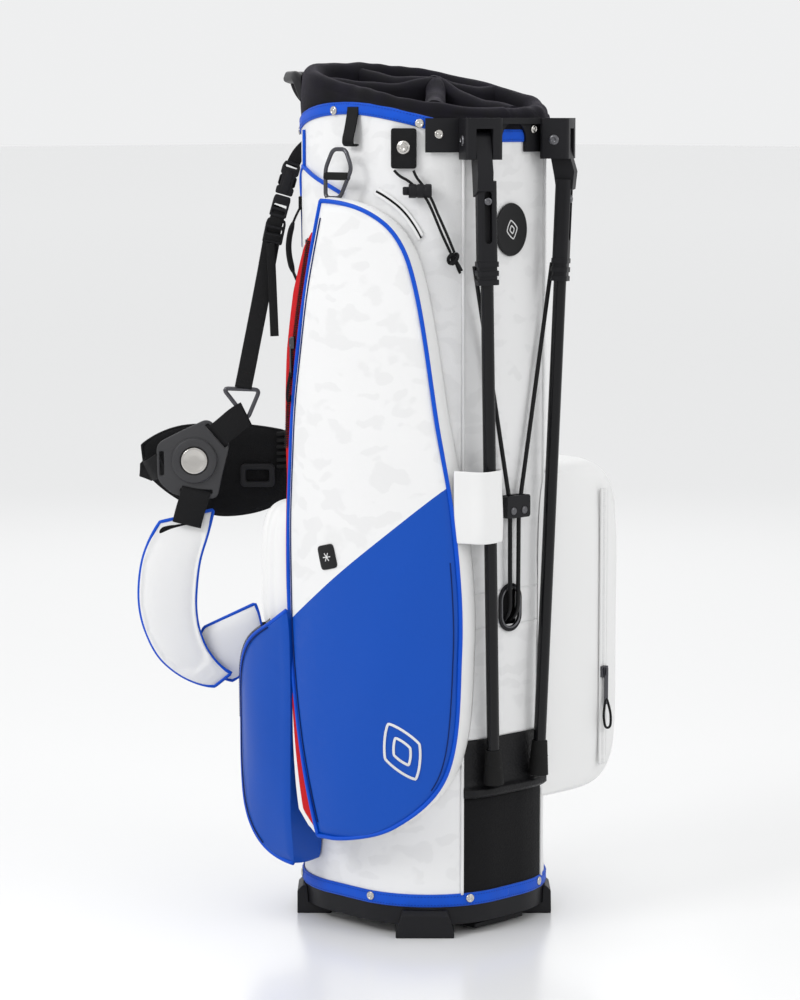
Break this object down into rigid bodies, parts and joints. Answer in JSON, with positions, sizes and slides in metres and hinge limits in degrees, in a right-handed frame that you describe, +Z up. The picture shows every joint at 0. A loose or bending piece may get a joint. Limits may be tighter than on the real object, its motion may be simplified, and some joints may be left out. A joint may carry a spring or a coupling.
{
  "type": "golf stand bag",
  "caption": "Upright golf bag with padded divided mouth, zipped pockets, padded shoulder harness and two folding stand legs worked by push rods from a kick plate in the base.",
  "frame": {"origin": "on the ground, under the middle of the bag's tube", "axes": "+Z up; +X towards the stand legs, -X towards the spine with the shoulder harness; -Y towards the full-length side pocket"},
  "size_m": [0.44, 0.393, 0.8902],
  "materials": {
    "black_plastic": "fine moulded grain",
    "white_fabric": "coated woven polyester",
    "blue_fabric": "coated woven polyester",
    "pocket_fabric": "coated polyester in white over blue",
    "black_mesh": "knitted mesh",
    "black_leather": "pebble grain",
    "velour": "short pile",
    "divider_fabric": "plain weave",
    "webbing": "ribbed weave",
    "nickel": "polished",
    "gunmetal": "dark polished",
    "leg_tube": "gloss black",
    "wire": "satin black",
    "rubber": "matt",
    "cord": "braided",
    "badge": "embossed"
  },
  "bodies": {
    "bag": {"ball_pocket": "blue_fabric", "base_feet": "black_plastic", "base_mat": "black_plastic", "base_shell": "black_plastic", "belly_badge": "badge", "belly_panel": "white_fabric", "bound_edges": "blue_fabric", "buckle_plug": "black_plastic", "buckle_socket": "black_plastic", "carry_handle": "webbing", "cord_knot": "cord", "cord_lock": "black_plastic", "divider_panels": "divider_fabric", "far_pocket": "white_fabric", "harness_webbing": "webbing", "hub_plate": "black_plastic", "kick_pin": "nickel", "ladder_lock": "black_plastic", "leg_bracket": "black_plastic", "leg_pivot_pins": "nickel", "leg_rest_pad": "black_leather", "leg_tab": "white_fabric", "lift_handle": "black_plastic", "lock_cord_far": "cord", "lock_cord_near": "cord", "mesh_panel": "black_mesh", "pad_far": "webbing", "pad_near": "white_fabric", "press_stud": "nickel", "rivets": "nickel", "rod_eyelet": "black_plastic", "rod_sleeve": "black_plastic", "side_panel_far": "white_fabric", "side_panel_near": "white_fabric", "small_pocket": "white_fabric", "spine_panel": "white_fabric", "stay_rods": "wire", "strap_ring": "black_plastic", "stud_tab": "webbing", "tall_pocket": "pocket_fabric", "top_cuff": "velour", "top_ring": "black_plastic", "towel_loop": "webbing"},
    "kick_plate": {"kick_plate": "black_plastic"},
    "push_rods": {"push_rods": "wire", "wire_clamp": "black_plastic"},
    "leg_near": {"leg_top_near": "black_plastic", "leg_tube_near": "leg_tube", "leg_foot_near": "rubber"},
    "leg_far": {"leg_top_far": "black_plastic", "leg_tube_far": "leg_tube", "leg_foot_far": "rubber"},
    "leg_wire_near": {"leg_wire_near": "wire"},
    "leg_wire_far": {"leg_wire_far": "wire"},
    "lock_button": {"lock_button": "black_plastic"},
    "snap_link": {"snap_link": "gunmetal"},
    "tall_slider_upper": {"tall_slider_upper": "gunmetal"},
    "tall_slider_lower": {"tall_slider_lower": "gunmetal"},
    "ball_slider": {"ball_slider": "gunmetal"},
    "far_slider": {"far_slider": "gunmetal"}
  },
  "joints": [
    {"name": "leg_near_swing", "type": "hinge", "parent": "bag", "child": "leg_near", "pos_m": [0.134, -0.057, 0.812], "axis": [-0.5, -0.866, 0], "range_deg": [0, 25], "stiffness_Nm_per_rad": 2, "deforming": ["leg_tab"]},
    {"name": "leg_far_swing", "type": "hinge", "parent": "bag", "child": "leg_far", "pos_m": [0.134, 0.057, 0.812], "axis": [0.5, -0.866, 0], "range_deg": [0, 25]},
    {"name": "push_rod_slide", "type": "slide", "parent": "bag", "child": "push_rods", "axis": [0, 0, 1], "range_m": [0, 0.0203]},
    {"name": "leg_wire_near_tilt", "type": "hinge", "parent": "push_rods", "child": "leg_wire_near", "pos_m": [0.1295, -0.008, 0.447], "axis": [0.5238, 0.833, 0.1783], "range_deg": [0, 12.9]},
    {"name": "leg_wire_far_tilt", "type": "hinge", "parent": "push_rods", "child": "leg_wire_far", "pos_m": [0.1295, 0.008, 0.447], "axis": [-0.5238, 0.833, -0.1783], "range_deg": [0, 12.9]},
    {"name": "kick_plate_tip", "type": "hinge", "parent": "bag", "child": "kick_plate", "pos_m": [0.06, 0, 0.008], "axis": [0, -1, 0], "range_deg": [0, 24.5]},
    {"name": "lock_button_press", "type": "slide", "parent": "bag", "child": "lock_button", "axis": [0.7071, 0.7071, 0], "range_m": [0, 0.002], "stiffness_N_per_m": 400},
    {"name": "snap_link_swing", "type": "hinge", "parent": "bag", "child": "snap_link", "pos_m": [0.012, -0.13425, 0.803], "axis": [-1, 0, 0], "range_deg": [0, 70]},
    {"name": "tall_slider_upper_run", "type": "slide", "parent": "bag", "child": "tall_slider_upper", "axis": [-0.16, -0.0679, -0.9848], "range_m": [0, 0.045]},
    {"name": "tall_slider_lower_run", "type": "slide", "parent": "bag", "child": "tall_slider_lower", "axis": [-0.0933, -0.0396, -0.9949], "range_m": [0, 0.06]},
    {"name": "ball_slider_run", "type": "slide", "parent": "bag", "child": "ball_slider", "axis": [0, 0, 1], "range_m": [0, 0.05]},
    {"name": "far_slider_run", "type": "slide", "parent": "bag", "child": "far_slider", "axis": [0, 0, 1], "range_m": [-0.05, 0.12]}
  ],
  "couplings": [
    {"joint": "leg_far_swing", "follows": "leg_near_swing", "ratio": 1},
    {"joint": "push_rod_slide", "follows": "leg_near_swing", "m_per_rad": 0.0463},
    {"joint": "leg_wire_near_tilt", "follows": "leg_near_swing", "ratio": 0.5113},
    {"joint": "leg_wire_far_tilt", "follows": "leg_near_swing", "ratio": 0.5113},
    {"joint": "kick_plate_tip", "follows": "leg_near_swing", "ratio": 0.96}
  ]
}
